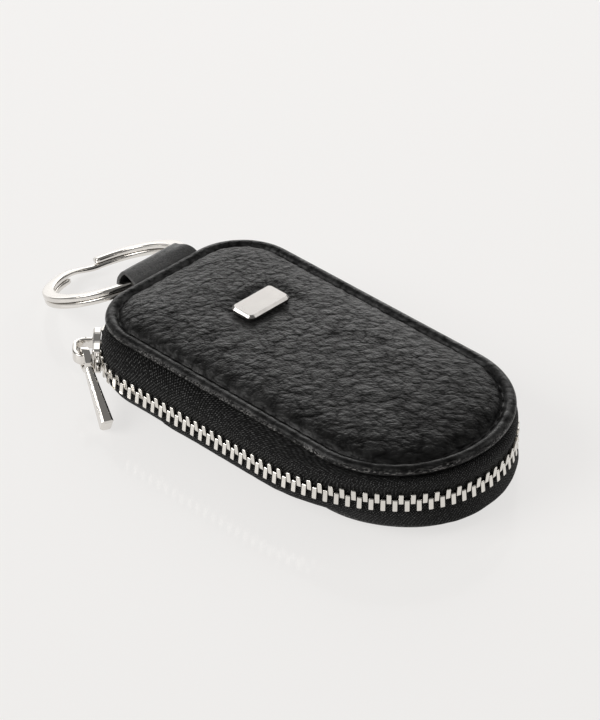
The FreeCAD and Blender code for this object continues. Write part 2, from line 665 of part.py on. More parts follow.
def make_ring():
    """Flat wire wound two turns, climbing from one to the other, hung in the tab's loop."""
    outer = size("ring_diameter") / 2
    inner = outer - size("ring_wire")
    thick = size("coil_thickness")
    level = (thick + size("coil_gap")) / 2
    ramp = size("coil_ramp")
    turn = 360 - ramp

    def section(angle, height):
        a = math.radians(angle)
        across = Vector(math.cos(a), math.sin(a), 0)
        corners = ((inner, -thick / 2), (outer, -thick / 2), (outer, thick / 2), (inner, thick / 2))
        points = [across * radius + UP * (height + z) for radius, z in corners]
        return Part.makePolygon(points + points[:1])

    def climb(share):
        return -level + 2 * level * share * share * (3 - 2 * share)

    steps = 6
    lower = Part.Face(section(0, -level)).revolve(Vector(), UP, turn)
    upper = Part.Face(section(0, level)).revolve(Vector(), UP, turn)
    sections = [section(turn + ramp * step / steps, climb(step / steps)) for step in range(steps + 1)]
    wire = lower.fuse([Part.makeLoft(sections, True, True), upper])

    # Least gap between stretches of the wire that lie more than a quarter turn apart along it.
    samples = []
    for angle in range(0, int(2 * turn + ramp) + 1, 3):
        share = min(max((angle - turn) / ramp, 0.0), 1.0)
        for vertex in section(angle, climb(share)).Vertexes:
            samples.append((angle, vertex.Point))
    gaps = [(p - q).Length for a, p in samples for b, q in samples if b - a > 90]
    print(f"split ring: least gap between its turns {min(gaps):.3f} mm")

    half_tab = size("tab_width") / 2
    reach = (outer + math.sqrt(inner ** 2 - half_tab ** 2)) / 2
    droop = rest_angle(reach + outer, thick + size("coil_gap") / 2, number(LOOP_LEVEL))
    loop = Vector(size("tab_offset"), size("panel_back") + size("loop_back"), number(LOOP_LEVEL))
    feature = doc.addObject("Part::Feature", "split_ring")
    feature.Label = "split_ring"
    feature.Shape = wire
    feature.Placement = (Placement(loop, Rotation(Vector(1, 0, 0), -droop))
                         * Placement(Vector(0, reach, 0), Rotation(UP, size("coil_phase"))))
    nodes.append(feature)
    print(f"ring swing: through {tuple(round(v, 3) for v in loop)}, droop {droop:.2f} degrees")


# Slider and pull, built with X along the chain and Y inwards

def slider_outline(sketch, half, beyond):
    """Outline of the slider or of its channel, wider at the open end."""
    end = f"(sizes.slider_length / 2 + {beyond})"
    shoulder = f"sizes.slider_length * {SHOULDER_SHARE}"
    neck = f"sizes.slider_length * {NECK_SHARE}"
    wide = f"({half} + sizes.slider_flare)"
    draw_polygon(sketch, (
        (end, f"-{half}"), (end, half), (neck, half), (shoulder, wide), (f"-{end}", wide),
        (f"-{end}", f"-{wide}"), (shoulder, f"-{wide}"), (neck, f"-{half}")))


def make_slider(place):
    body = new_body("slider_body")
    block = sketch_on(body, "XZ_Plane", f"-({CHANNEL_IN} + sizes.slider_plate)")
    slider_outline(block, SLIDER_HALF, "0")
    pad(body, block, f"{CHANNEL_IN} + {CHANNEL_OUT} + 2 * sizes.slider_plate")
    dress_edges(body, "Chamfer", "Size", "sizes.slider_bevel", lambda edge: True)
    channel = sketch_on(body, "XZ_Plane", CHANNEL_OUT)
    slider_outline(channel, CHANNEL_HALF, "sizes.overrun")
    pocket(body, channel, f"{CHANNEL_IN} + {CHANNEL_OUT}")
    wedge = sketch_on(body, "XZ_Plane", f"-{CHANNEL_IN}")
    draw_polygon(wedge, [(f"sizes.slider_length * {along}", f"{CHANNEL_HALF} * {across}")
                         for along, across in WEDGE_SHARES])
    pad(body, wedge, f"{CHANNEL_IN} + {CHANNEL_OUT}")
    slots = sketch_on(body, "XZ_Plane", SLOT_OUT)
    end = "(sizes.slider_length / 2 + sizes.overrun)"
    far = f"({SLIDER_HALF} + sizes.slider_flare + sizes.overrun)"
    near = f"({CHANNEL_HALF} - sizes.slider_play)"
    draw_rectangle(slots, f"-{end}", end, near, far)
    draw_rectangle(slots, f"-{end}", end, f"-{far}", f"-{near}")
    pocket(body, slots, f"{SLOT_IN} + {SLOT_OUT}")
    body.Placement = place


def make_bail(place):
    """Strap arched over the slider's plate."""
    body = new_body("slider_bail")
    arch = sketch_on(body, "XY_Plane", "-sizes.bail_width / 2")
    end = "sizes.bail_length / 2"
    inside = "(sizes.bail_length / 2 - sizes.bail_strap)"
    crown = f"({BAIL_TOP} - sizes.bail_strap)"
    draw_polygon(arch, (
        (f"-{end}", f"-{PLATE_OUT}"), (f"-{end}", f"-{BAIL_TOP}"), (end, f"-{BAIL_TOP}"), (end, f"-{PLATE_OUT}"),
        (inside, f"-{PLATE_OUT}"), (inside, f"-{crown}"), (f"-{inside}", f"-{crown}"),
        (f"-{inside}", f"-{PLATE_OUT}")))
    pad(body, arch, "sizes.bail_width")
    for half, top, radius in ((end, BAIL_TOP, "sizes.bail_round"),
                              (inside, crown, "sizes.bail_round - sizes.bail_strap")):
        corners = [upright_at(sign * number(half), -number(top)) for sign in (-1, 1)]
        fillet(body, radius, lambda edge, corners=corners: any(corner(edge) for corner in corners))
    body.Placement = place


def make_pull(place):
    """Bar that thickens from its eye to its tip, hung on the front leg of the bail."""
    body = new_body("pull_tab")
    eye = sketch_on(body, "XZ_Plane", "-sizes.eye_thickness / 2")
    draw_circle(eye, "0", "0", "sizes.eye_hole + sizes.eye_wall")
    pad(body, eye, "sizes.eye_thickness")
    ends = (("sizes.eye_hole", "sizes.eye_thickness", "sizes.pull_neck"),
            ("sizes.pull_reach", "sizes.pull_tip_width", "sizes.pull_tip_height"))
    sections = []
    for along, width, height in ends:
        section = sketch_on(body, "YZ_Plane", along)
        draw_bevelled(section, f"({width} / 2)", f"({height} / 2)", "sizes.pull_bevel")
        sections.append(section)
    loft(body, "AdditiveLoft", sections)
    tip = size("pull_reach")
    dress_edges(body, "Chamfer", "Size", "sizes.pull_bevel",
                lambda edge: edge.BoundBox.XMin > tip - TOLERANCE)
    hole = sketch_on(body, "XZ_Plane", "sizes.eye_thickness / 2")
    draw_circle(hole, "0", "0", "sizes.eye_hole")
    pocket(body, hole, "sizes.eye_thickness")

    leg = Vector((size("bail_length") - size("bail_strap")) / 2, -size("eye_stand"), 0)
    droop = rest_angle(size("pull_reach"), size("pull_tip_height") / 2, number(HALF))
    skew = Rotation(UP, size("pull_skew")) * Rotation(Vector(0, 1, 0), droop)
    body.Placement = place * Placement(leg, skew)
    pivot = body.Placement.Base
    axis = body.Placement.Rotation.multVec(Vector(0, -1, 0))
    print(f"pull swing: through {tuple(round(v, 3) for v in pivot)}, axis {tuple(round(v, 4) for v in axis)}")


top_cover = make_cover("top_cover", True)
top_padding = make_padding("top_padding", True)
make_board("top_board", True)
make_lining("top_lining", True)
make_badge(top_cover, top_padding)
make_cover("bottom_cover", False)
make_padding("bottom_padding", False)
make_board("bottom_board", False)
make_lining("bottom_lining", False)
make_tapes()
slider_place = make_chain()
make_spine()
make_tab()
make_ring()
make_slider(slider_place)
make_bail(slider_place)
make_pull(slider_place)
doc.recompute()

for item in doc.Objects:
    if "Invalid" in item.State or "Error" in item.State:
        raise RuntimeError(f"{item.Label} failed: {item.State}")
for node in nodes:
    if node.Shape.isNull() or not node.Shape.isValid():
        raise RuntimeError(f"{node.Label} has no valid shape")

os.makedirs("parts", exist_ok=True)
for node in nodes:
    node.Shape.exportStep(f"parts/{node.Label}.step")
    print(f"{node.Label}: {len(node.Shape.Solids)} solids, {node.Shape.Volume:.2f} mm3")
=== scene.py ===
import math
from collections import namedtuple

import bpy
import numpy as np
from mathutils import Matrix, Vector, noise


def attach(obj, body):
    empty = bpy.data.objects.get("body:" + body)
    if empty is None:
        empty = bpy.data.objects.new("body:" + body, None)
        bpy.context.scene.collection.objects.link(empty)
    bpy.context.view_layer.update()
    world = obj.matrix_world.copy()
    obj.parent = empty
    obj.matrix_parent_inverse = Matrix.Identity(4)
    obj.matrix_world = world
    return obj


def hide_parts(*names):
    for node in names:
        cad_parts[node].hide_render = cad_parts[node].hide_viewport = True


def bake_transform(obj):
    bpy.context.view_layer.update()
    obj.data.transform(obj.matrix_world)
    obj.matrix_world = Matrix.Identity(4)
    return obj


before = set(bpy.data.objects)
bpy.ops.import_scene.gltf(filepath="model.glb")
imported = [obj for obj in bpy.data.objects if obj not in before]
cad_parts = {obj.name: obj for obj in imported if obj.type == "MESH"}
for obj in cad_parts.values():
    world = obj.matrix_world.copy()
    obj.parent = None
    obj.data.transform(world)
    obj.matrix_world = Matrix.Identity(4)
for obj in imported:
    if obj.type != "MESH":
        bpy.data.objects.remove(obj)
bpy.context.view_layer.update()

# Lengths of the object are in millimetres and become metres where they reach Blender.
MM = 0.001


# Outlines and lines

# The case's two outlines, of its panels and of its zip. They share their middle line, x = 0.
Outline = namedtuple("Outline", "half back nose back_radius front_radius nose_radius")
PANEL = Outline(half=21.8, back=42.0, nose=42.0, back_radius=12.0, front_radius=20.0, nose_radius=24.0)
ZIP = Outline(half=25.2, back=42.0, nose=42.5, back_radius=16.0, front_radius=38.0, nose_radius=21.5)
# Points on half an outline: half the back, a back corner, a side, a front corner, half the nose.
STRETCH_COUNTS = (28, 62, 172, 74, 38)
# Past this inset a panel's rings are drawn together, almost all the way, to a line of this half length.
PANEL_CORE = 11.0
CORE_END = 20.2
CORE_SHARE = 0.985
# Height of the zip's middle above the table. The levels in sections are counted from it.
ZIP_LEVEL = 8.8
# The soft lower half is drawn in on the slider's side: how far, and between which levels and places.
LOWER_TUCK = 1.9
TUCK_LEVELS = (2.2, 6.3)
TUCK_SIDE = (4.0, 20.0)


def arc(centre, radius, start, end, count):
    """Points on an arc, without its end."""
    angles = np.linspace(start, end, count, endpoint=False)
    return np.column_stack([centre[0] + radius * np.cos(angles), centre[1] + radius * np.sin(angles)])


def run(start, end, count):
    """Points on a straight run, without its end."""
    shares = np.linspace(0, 1, count, endpoint=False)[:, None]
    return np.array(start) * (1 - shares) + np.array(end) * shares


def outline_points(outline, inset):
    """Points round an outline moved inwards, from the middle of the back against the clock."""
    half, back = outline.half - inset, outline.back - inset
    corner = outline.back_radius - inset
    nose_centre = outline.nose_radius - outline.nose
    reach = outline.half - outline.front_radius
    spread = outline.nose_radius - outline.front_radius
    front_centre = nose_centre - math.copysign(math.sqrt(spread ** 2 - reach ** 2), spread)
    quarter = math.pi / 2
    tangent = 2 * quarter - math.atan2((front_centre - nose_centre) / spread, reach / spread)
    back_count, corner_count, side_count, front_count, nose_count = STRETCH_COUNTS
    left = np.vstack([
        run((0, back), (corner - half, back), back_count),
        arc((corner - half, back - corner), corner, quarter, 2 * quarter, corner_count),
        run((-half, back - corner), (-half, front_centre), side_count),
        arc((-reach, front_centre), outline.front_radius - inset, 2 * quarter, tangent, front_count),
        arc((0, nose_centre), outline.nose_radius - inset, tangent, 3 * quarter, nose_count),
    ])
    tip = np.array([[0, inset - outline.nose]])
    right = left[1:][::-1] * (-1, 1)
    return np.vstack([left, tip, right])


def panel_ring(inset):
    """Outline of a panel moved inwards, drawn together to its middle line past PANEL_CORE."""
    if inset <= PANEL_CORE:
        return outline_points(PANEL, inset)
    core = outline_points(PANEL, PANEL_CORE)
    middle = np.column_stack([np.zeros(len(core)), np.clip(core[:, 1], -CORE_END, CORE_END)])
    share = CORE_SHARE * (inset - PANEL_CORE) / (PANEL.half - PANEL_CORE)
    return core * (1 - share) + middle * share


def panel_rows(section):
    """Rings round a panel, one for each inset and level of a section."""
    rows = []
    for inset, level in section:
        plan = panel_ring(inset)
        rows.append(np.column_stack([plan, np.full(len(plan), level)]))
    return np.array(rows)


def lengths_along(points):
    """Length of a line up to each of its points."""
    steps = np.linalg.norm(np.diff(points, axis=0), axis=1)
    return np.concatenate([[0], np.cumsum(steps)])


def even_line(points, count, passes):
    """That many evenly spaced points along a line through the given ones, with its corners eased."""
    points = np.asarray(points, float)
    reach = lengths_along(points)
    wanted = np.linspace(0, reach[-1], count)
    line = np.column_stack([np.interp(wanted, reach, column) for column in points.T])
    for _ in range(passes):
        line[1:-1] = (line[:-2] + 2 * line[1:-1] + line[2:]) / 4
    return line


def smooth_line(points, spacing, passes):
    """The same for points at about that spacing."""
    length = lengths_along(np.asarray(points, float))[-1]
    return even_line(points, int(length / spacing) + 1, passes)


def ease(values, low, high):
    """Share of the way from low to high, with soft ends."""
    shares = np.clip((values - low) / (high - low), 0, 1)
    return shares * shares * (3 - 2 * shares)


def bell(values, middle, width):
    """1 at the middle, falling to 0 on both sides."""
    return np.exp(-((values - middle) / width) ** 2)


def noise_at(x, y, z):
    """Smooth noise at the places that these numbers or arrays give together."""
    places = np.stack(np.broadcast_arrays(x, y, z), axis=-1).astype(float)
    values = [noise.noise(place) for place in places.reshape(-1, 3).tolist()]
    return np.array(values).reshape(places.shape[:-1])


def place_lower(points):
    """Turns points of an upper soft piece, levels counted from the zip's middle, into the lower one's."""
    lower = np.array(points, float) * (-1, 1, -1)
    depth = ease(-lower[..., 2], *TUCK_LEVELS) * ease(-lower[..., 0], *TUCK_SIDE)
    lower[..., 0] += depth * LOWER_TUCK
    return lower


def stand(points, upper):
    """Points of a soft piece of that half, levels counted from the zip's middle, above the table."""
    placed = np.array(points) if upper else place_lower(points)
    placed[..., 2] += ZIP_LEVEL
    return placed


# Meshes

CLOTH_UV = "cloth"
LEAST_NORMAL = 1e-9


def add_object(name, data):
    thing = bpy.data.objects.new(name, data)
    bpy.context.scene.collection.objects.link(thing)
    return thing


def new_object(name, points, faces):
    """Smooth mesh object from an array of points in millimetres."""
    mesh = bpy.data.meshes.new(name)
    vertices = np.reshape(points, (-1, 3)) * MM
    mesh.from_pydata(vertices.tolist(), [], [list(map(int, face)) for face in faces])
    mesh.update()
    mesh.shade_smooth()
    return add_object(name, mesh)


def grid_index(*shape):
    return np.arange(np.prod(shape)).reshape(shape)


def close_ring(grid):
    """A grid with its first column once more after its last."""
    return np.hstack([grid, grid[:, :1]])


def grid_faces(index, flip=False):
    corners = [index[:-1, :-1], index[:-1, 1:], index[1:, 1:], index[1:, :-1]]
    if flip:
        corners.reverse()
    return np.stack(corners, axis=-1).reshape(-1, 4).tolist()


def tube_faces(index, flip=False):
    """Faces of a closed tube on a grid with one ring of points in each row."""
    ends = [index[0, ::-1], index[-1]]
    if flip:
        ends = [end[::-1] for end in ends]
    return grid_faces(close_ring(index), flip) + [end.tolist() for end in ends]


def seam_faces(ring, flip=False):
    """Faces that close a ring drawn together on its middle line, from left points to their mirrored ones."""
    last = len(ring) - 1
    tip = (last + 1) // 2
    faces = [[ring[0], ring[1], ring[last]], [ring[tip - 1], ring[tip], ring[tip + 1]]]
    faces += [[ring[i], ring[i + 1], ring[last - i], ring[last + 1 - i]] for i in range(1, tip - 1)]
    return [face[::-1] for face in faces] if flip else faces


def grid_normals(rows):
    along = np.gradient(rows, axis=1)
    across = np.gradient(rows, axis=0)
    normals = np.cross(along, across)
    return normals / np.maximum(np.linalg.norm(normals, axis=2, keepdims=True), LEAST_NORMAL)


def set_cloth_uv(piece, places):
    """UVs in millimetres, given for each vertex."""
    layer = piece.data.uv_layers.new(name=CLOTH_UV)
    corners = np.array([loop.vertex_index for loop in piece.data.loops])
    layer.data.foreach_set("uv", places[corners].astype(np.float32).ravel())


def both_sides(values):
    """Values on a grid of points as a thick sheet needs them: in a list, and once more for its underside."""
    return np.tile(values.reshape(-1, values.shape[-1]), (2, 1))


def thick_sheet(name, rows, thickness):
    """Closed sheet of that thickness under a grid of points, with UVs along and across it."""
    count, across = rows.shape[:2]
    under = rows - grid_normals(rows) * thickness
    index = grid_index(count, across)
    shift = count * across
    faces = grid_faces(index) + grid_faces(index + shift, flip=True)
    rim = np.concatenate([index[0, :], index[1:, -1], index[-1, -2::-1], index[-2:0:-1, 0]])
    for start, end in zip(rim, np.roll(rim, -1)):
        faces.append([end, start, start + shift, end + shift])
    piece = new_object(name, np.stack([rows, under]), faces)
    along = np.broadcast_to(lengths_along(rows[count // 2]), (count, across))
    over = np.broadcast_to(lengths_along(rows[:, across // 2])[:, None], (count, across))
    set_cloth_uv(piece, both_sides(np.stack([along, over], axis=-1)))
    return piece


def set_grain(piece, places, depths, painted_highlight=0.0, shaded_gloss_share=1.0, pebble=0.7):
    """Sets where the leather's grain lies on a piece, how deep and high it is, its painted highlight specks
    and its gloss share, cut as painted shade.
    """
    attribute = piece.data.attributes.new("grain_place", "FLOAT_VECTOR", "POINT")
    attribute.data.foreach_set("vector", np.asarray(places, np.float32).ravel())
    for name, values in (("grain_depth", depths), ("painted_highlight", painted_highlight), ("shaded_gloss_share", shaded_gloss_share), ("pebble", pebble)):
        spread = np.broadcast_to(values, np.shape(places)[:-1])
        attribute = piece.data.attributes.new(name, "FLOAT", "POINT")
        attribute.data.foreach_set("value", np.asarray(spread, np.float32).ravel())


def add_bevel(piece, width, segments, angle):
    """Rounds the edges that turn by more than that angle."""
    bevel = piece.modifiers.new("bevel", "BEVEL")
    bevel.width = width * MM
    bevel.segments = segments
    bevel.limit_method = "ANGLE"
    bevel.angle_limit = math.radians(angle)
    return bevel


def settle(piece, body, material, nodes=()):
    """Gives a piece its material and the body it moves with, and hides the CAD nodes it stands for."""
    piece.data.materials.append(material)
    if nodes:
        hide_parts(*nodes)
    if body:
        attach(piece, body)


# Materials

# Height of a pebble of the leather by the distance from its middle, both as shares.
PEBBLE_PROFILE = ((0.0, 1.0), (0.3, 0.86), (0.55, 0.52), (0.9, 0.0))
# Colour of the pale specks painted on the roll's outer edge as a highlight.
HIGHLIGHT_SPECK_COLOUR = (0.4, 0.39, 0.38, 1.0)
# How far the small pebbles are bent, and how much the folds are drawn out, in each direction of the grain.
PEBBLE_BEND = (0.8, 0.8, 0.8)
FOLD_DRAW = (0.35, 0.9, 0.9)
# Share of the small pebbles in the leather's height.
SMALL_PEBBLE_SHARE = 0.3
NOISE_MIDDLE = 0.5
# Span of a noise that gives the unevenness of a polish.
CLOUD_SPAN = (0.3, 0.7)
# Second ribs of a weave, across the first: their pitch and height as shares.
CROSS_PITCH = 0.72
CROSS_HEIGHT = 0.85


def new_material(name, **values):
    """Material with a Principled shader; keyword names are its sockets with _ for a space."""
    material = bpy.data.materials.new(name)
    material.use_nodes = True
    shader = material.node_tree.nodes["Principled BSDF"]
    for socket, value in values.items():
        shader.inputs[socket.replace("_", " ")].default_value = value
    return material, shader


def add_node(material, kind, inputs=None, **settings):
    """Node of that kind; an input is a value or another node's socket."""
    node = material.node_tree.nodes.new(f"ShaderNode{kind}")
    for name, value in settings.items():
        setattr(node, name, value)
    for socket, value in (inputs or {}).items():
        target = node.inputs[socket]
        if isinstance(value, bpy.types.NodeSocket):
            link(material, value, target)
        else:
            target.default_value = value
    return node


def link(material, source, target):
    material.node_tree.links.new(source, target)


def math_node(material, operation, *values):
    return add_node(material, "Math", dict(enumerate(values)), operation=operation).outputs[0]


def add_scaled(material, factor, share, base):
    """base + factor * share"""
    return math_node(material, "MULTIPLY_ADD", factor, share, base)


def vector_node(material, operation, *values):
    return add_node(material, "VectorMath", dict(enumerate(values)), operation=operation).outputs


def noise_node(material, place, scale, detail):
    return add_node(material, "TexNoise", {"Vector": place, "Scale": scale, "Detail": detail}).outputs


def map_range(material, value, span, result=(0.0, 1.0), curve="LINEAR"):
    """Goes from one end of result to the other as the value goes through span, and no further."""
    inputs = {"Value": value, "From Min": span[0], "From Max": span[1],
              "To Min": result[0], "To Max": result[1]}
    return add_node(material, "MapRange", inputs, interpolation_type=curve).outputs["Result"]


def ramp(material, factor, stops):
    """Ramp of greys; each stop is a place and a grey."""
    node = add_node(material, "ValToRGB", {"Fac": factor})
    elements = node.color_ramp.elements
    while len(elements) < len(stops):
        elements.new(0.5)
    for element, (place, grey) in zip(elements, stops):
        element.position = place
        element.color = (grey, grey, grey, 1.0)
    return node.outputs["Color"]


def bump(material, shader, height, distance, strength):
    node = add_node(material, "Bump", {"Height": height, "Distance": distance, "Strength": strength})
    link(material, node.outputs["Normal"], shader.inputs["Normal"])


def leather_material(name, dark, pale, relief, roughness, shine):
    """Grained leather: small pebbles, folds and pores over the mesh's own pebbles, painted shade in the
    creases and painted highlight specks.
    """
    # The middle of the gloss stays on the socket for an export that can't follow its link.
    material, shader = new_material(name, Specular_IOR_Level=sum(shine) / 2)
    place = add_node(material, "Attribute", attribute_name="grain_place").outputs["Vector"]
    depth, painted_highlight, shaded_gloss_share, pebble = (add_node(material, "Attribute", attribute_name=attribute).outputs["Fac"]
                                   for attribute in ("grain_depth", "painted_highlight", "shaded_gloss_share", "pebble"))

    warp = noise_node(material, place, scale=1.1, detail=1.0)["Color"]
    bent = vector_node(material, "MULTIPLY_ADD", warp, PEBBLE_BEND, place)["Vector"]
    cells = add_node(material, "TexVoronoi", {"Vector": bent, "Scale": 2.2}, feature="F1")
    small = ramp(material, cells.outputs["Distance"], PEBBLE_PROFILE)
    drawn = vector_node(material, "MULTIPLY", place, FOLD_DRAW)["Vector"]
    folds = noise_node(material, drawn, scale=1.0, detail=2.0)["Fac"]
    from_fold = math_node(material, "ABSOLUTE", math_node(material, "SUBTRACT", folds, NOISE_MIDDLE))
    fold = map_range(material, from_fold, span=(0.0, 0.2), curve="SMOOTHSTEP")
    pores = noise_node(material, place, scale=6.5, detail=2.0)["Fac"]
    fine = math_node(material, "MULTIPLY", small, SMALL_PEBBLE_SHARE)
    fine = add_scaled(material, fold, share=0.1, base=fine)
    fine = add_scaled(material, pores, share=0.42, base=fine)
    height = add_scaled(material, pebble, share=0.42, base=fine)

    # Painted shade: colour and gloss are darker down in the creases than on the pebbles' tops.
    raised = map_range(material, height, span=(0.45, 1.05))
    tone = ramp(material, raised, ((0.0, dark), (1.0, pale)))
    # Painted highlight: pale specks mixed in where the mesh's attribute marks the roll's outer edge.
    specks = map_range(material, pores, span=(0.5, 0.62))
    highlit = math_node(material, "MULTIPLY", specks, painted_highlight)
    highlight_mix = add_node(material, "MixRGB", {"Fac": highlit, "Color1": tone, "Color2": HIGHLIGHT_SPECK_COLOUR})
    link(material, highlight_mix.outputs["Color"], shader.inputs["Base Color"])
    crease_shaded_gloss = map_range(material, height, span=(0.25, 0.95), result=shine)
    # Painted shade: the gloss is also cut by the crown's share that falls towards the nose.
    shown = math_node(material, "MULTIPLY", crease_shaded_gloss, shaded_gloss_share)
    link(material, shown, shader.inputs["Specular IOR Level"])
    cloud = noise_node(material, place, scale=0.22, detail=4.0)["Fac"]
    rough = map_range(material, cloud, span=CLOUD_SPAN, result=roughness)
    link(material, rough, shader.inputs["Roughness"])
    bump(material, shader, fine, relief, depth)
    return material


def cloth_material(name, dark, pale, rib, slant, relief):
    """Woven cloth: slanted ribs cut up by crossing threads, along the mesh's own UVs in millimetres."""
    material, shader = new_material(name, Roughness=0.75, Specular_IOR_Level=0.25)
    place = add_node(material, "UVMap", uv_map=CLOTH_UV).outputs["UV"]
    along, across, _ = add_node(material, "SeparateXYZ", {"Vector": place}).outputs

    def wave(period, lean):
        leaning = add_scaled(material, across, lean, along)
        turns = math_node(material, "MULTIPLY", leaning, 2 * math.pi / period)
        return math_node(material, "SINE", turns)

    crossing = wave(rib * CROSS_PITCH, -1 / slant)
    weave = add_scaled(material, crossing, share=CROSS_HEIGHT, base=wave(rib, slant))
    fuzz = noise_node(material, place, scale=3.2, detail=4.0)["Fac"]
    height = add_scaled(material, fuzz, share=8.0, base=weave)
    raised = map_range(material, height, span=(2.6, 6.4))
    tone = ramp(material, raised, ((0.0, dark), (0.55, dark), (1.0, pale)))
    link(material, tone, shader.inputs["Base Color"])
    bump(material, shader, height, relief, strength=0.9)
    return material


def metal_material(name, colour, roughness, scratch):
    """Plated metal with faint uneven polish and fine scratches."""
    material, shader = new_material(name, Metallic=1.0, Base_Color=colour)
    place = add_node(material, "TexCoord").outputs["Object"]
    cloud = noise_node(material, place, scale=420.0, detail=5.0)["Fac"]
    rough = map_range(material, cloud, span=CLOUD_SPAN, result=roughness)
    link(material, rough, shader.inputs["Roughness"])
    lines = noise_node(material, place, scale=2600.0, detail=2.0)["Fac"]
    bump(material, shader, lines, scratch, strength=0.25)
    return material


leather = leather_material("black_leather", dark=0.006, pale=0.017, relief=0.0004, roughness=(0.36, 0.44),
                           shine=(0.02, 0.42))
tab_leather = leather_material("tab_leather", dark=0.02, pale=0.05, relief=0.00022, roughness=(0.42, 0.55),
                               shine=(0.9, 1.5))
tape_cloth = cloth_material("zip_tape", dark=0.006, pale=0.2, rib=0.72, slant=-0.8, relief=0.0001)
lining_cloth = cloth_material("lining_cloth", dark=0.016, pale=0.045, rib=0.5, slant=1.0, relief=0.00005)
thread = cloth_material("stitch_thread", dark=0.003, pale=0.012, rib=0.3, slant=0.7, relief=0.00004)
nickel = metal_material("polished_nickel", (0.76, 0.735, 0.7, 1.0), roughness=(0.05, 0.13), scratch=0.000004)
# Painted shade: a darker copy of the nickel, so the flat plate that faces the bright field renders less
# bright.
shaded_badge_nickel = metal_material("shaded_badge_nickel", (0.48, 0.465, 0.45, 1.0), roughness=(0.2, 0.28),
                              scratch=0.000004)
tooth_metal = metal_material("tooth_nickel", (0.76, 0.735, 0.69, 1.0), roughness=(0.1, 0.2), scratch=0.00001)


# Leather covers

# Section of a cover, from the turned-in edge round the roll, the groove and the crown to the middle:
# distance inside the panel's edge, height above the zip's middle.
COVER_SECTION = (
    (5.6, 5.45), (5.4, 5.05), (4.4, 5.02), (2.0, 5.02), (0.95, 5.06), (0.25, 5.3), (-0.2, 5.75), (-0.35, 6.2),
    (-0.2, 6.7), (0.2, 7.1), (0.8, 7.3), (1.4, 7.2), (1.85, 6.85), (2.15, 6.5), (2.3, 6.36), (2.45, 6.6),
    (2.75, 7.1), (3.3, 7.5), (4.4, 7.92), (6.0, 8.25), (8.2, 8.52), (10.8, 8.68), (14.0, 8.76), (21.8, 8.8),
)
COVER_STEP = 0.24
GROOVE_INSET = 2.3
# From here inwards a cover is all crown.
CROWN_INSET = 3.1
# What sets the lower cover's noise apart from the upper one's.
LOWER_COVER_SEED = 70.0

# The grain is drawn out along the case's slant and is finer towards the far back corner.
CREASE_TURN = math.radians(-45.0)
GRAIN_ACROSS = 2.5
GRAIN_ACROSS_CHANGE = -0.032
GRAIN_ALONG = 3.0
GRAIN_ALONG_CHANGE = -0.035
GRAIN_RISE = 1.5
# Depth of the grain on the roll, as a share of the crown's.
ROLL_GRAIN = 0.35
# Gloss of the crown at the nose, as a share, and where it grows from that to all of it: painted shade that
# darkens the crown towards the nose.
NOSE_SHADED_GLOSS = 0.35
NOSE_SHADE_SPAN = (-42.0, 8.0)

PEBBLE_RISE = 0.13
PEBBLE_WARP = 0.4
PEBBLE_WARP_SCALE = 1.1
# Places in the noise from which the three directions of that warp are read.
WARP_OFFSETS = (Vector((0.0, 0.0, 0.0)), Vector((31.4, 7.1, 2.2)), Vector((5.8, 47.3, 19.6)))
# Creases between pebbles: how wide, as a share of a pebble, and how much of its height they take.
CREASE_WIDTH = 0.24
CREASE_SHARE = 0.6

# Puckers along the groove: how far from it they reach, their size along and across it, slant and height.
PUCKER_REACH = 1.3
PUCKER_LENGTH = 1.6
PUCKER_WIDTH = 2.6
PUCKER_SLANT = 0.5
PUCKER_HEIGHT = 0.05
# How far each stitch pulls the leather in.
STITCH_PULL = 0.03
# Slow swell of the crown.
SWELL_LENGTH = 13.0
SWELL_HEIGHT = 0.04
SWELL_SEED = 5.0

# Strip of pale specks painted on the roll as a highlight: middle and width by level and by inset, and the
# least of it that shows.
HIGHLIGHT_LEVEL = (6.1, 0.6)
HIGHLIGHT_INSET = (-0.3, 0.5)
HIGHLIGHT_LEAST = 0.05
# Patches in it: their length, finer ones along and up the roll with their share, and how much of the strip is
# painted highlight.
HIGHLIGHT_PATCH = 6.0
HIGHLIGHT_SEED = 3.0
HIGHLIGHT_FINE_ALONG = 0.9
HIGHLIGHT_FINE_UP = 3.0
HIGHLIGHT_FINE_SHARE = 0.6
HIGHLIGHT_SHARE = 0.6

# The plate is set into the crown, with a slope of this width round it.
BADGE_MIDDLE = (2.9, 18.0)
BADGE_HALF = (5.9, 3.4)
BADGE_SINK = 0.45
BADGE_SLOPE = 2.6

STITCH_PITCH = 3.1
STITCH_LENGTH = 2.5
STITCH_LEVEL = 6.55
# How far the ends of a stitch dip, its radius, and the shares of that at its ends and added in its middle.
STITCH_DIP = 0.42
STITCH_RADIUS = 0.14
STITCH_END_SHARE = 0.72
STITCH_MIDDLE_SHARE = 0.28
STITCH_SIDES = 8
STITCH_STEPS = 9
# Distance over which a stitch's heading is read.
STITCH_AHEAD = 0.1


def grain_places(points):
    """Places on the leather's hide, counted in pebbles, for points in millimetres."""
    x, y, z = points[..., 0], points[..., 1], points[..., 2]
    along = x * math.cos(CREASE_TURN) + y * math.sin(CREASE_TURN)
    across = y * math.cos(CREASE_TURN) - x * math.sin(CREASE_TURN)
    counted = np.log(GRAIN_ACROSS + GRAIN_ACROSS_CHANGE * across) / GRAIN_ACROSS_CHANGE
    return np.stack([along / (GRAIN_ALONG + GRAIN_ALONG_CHANGE * across), counted, z / GRAIN_RISE], axis=-1)


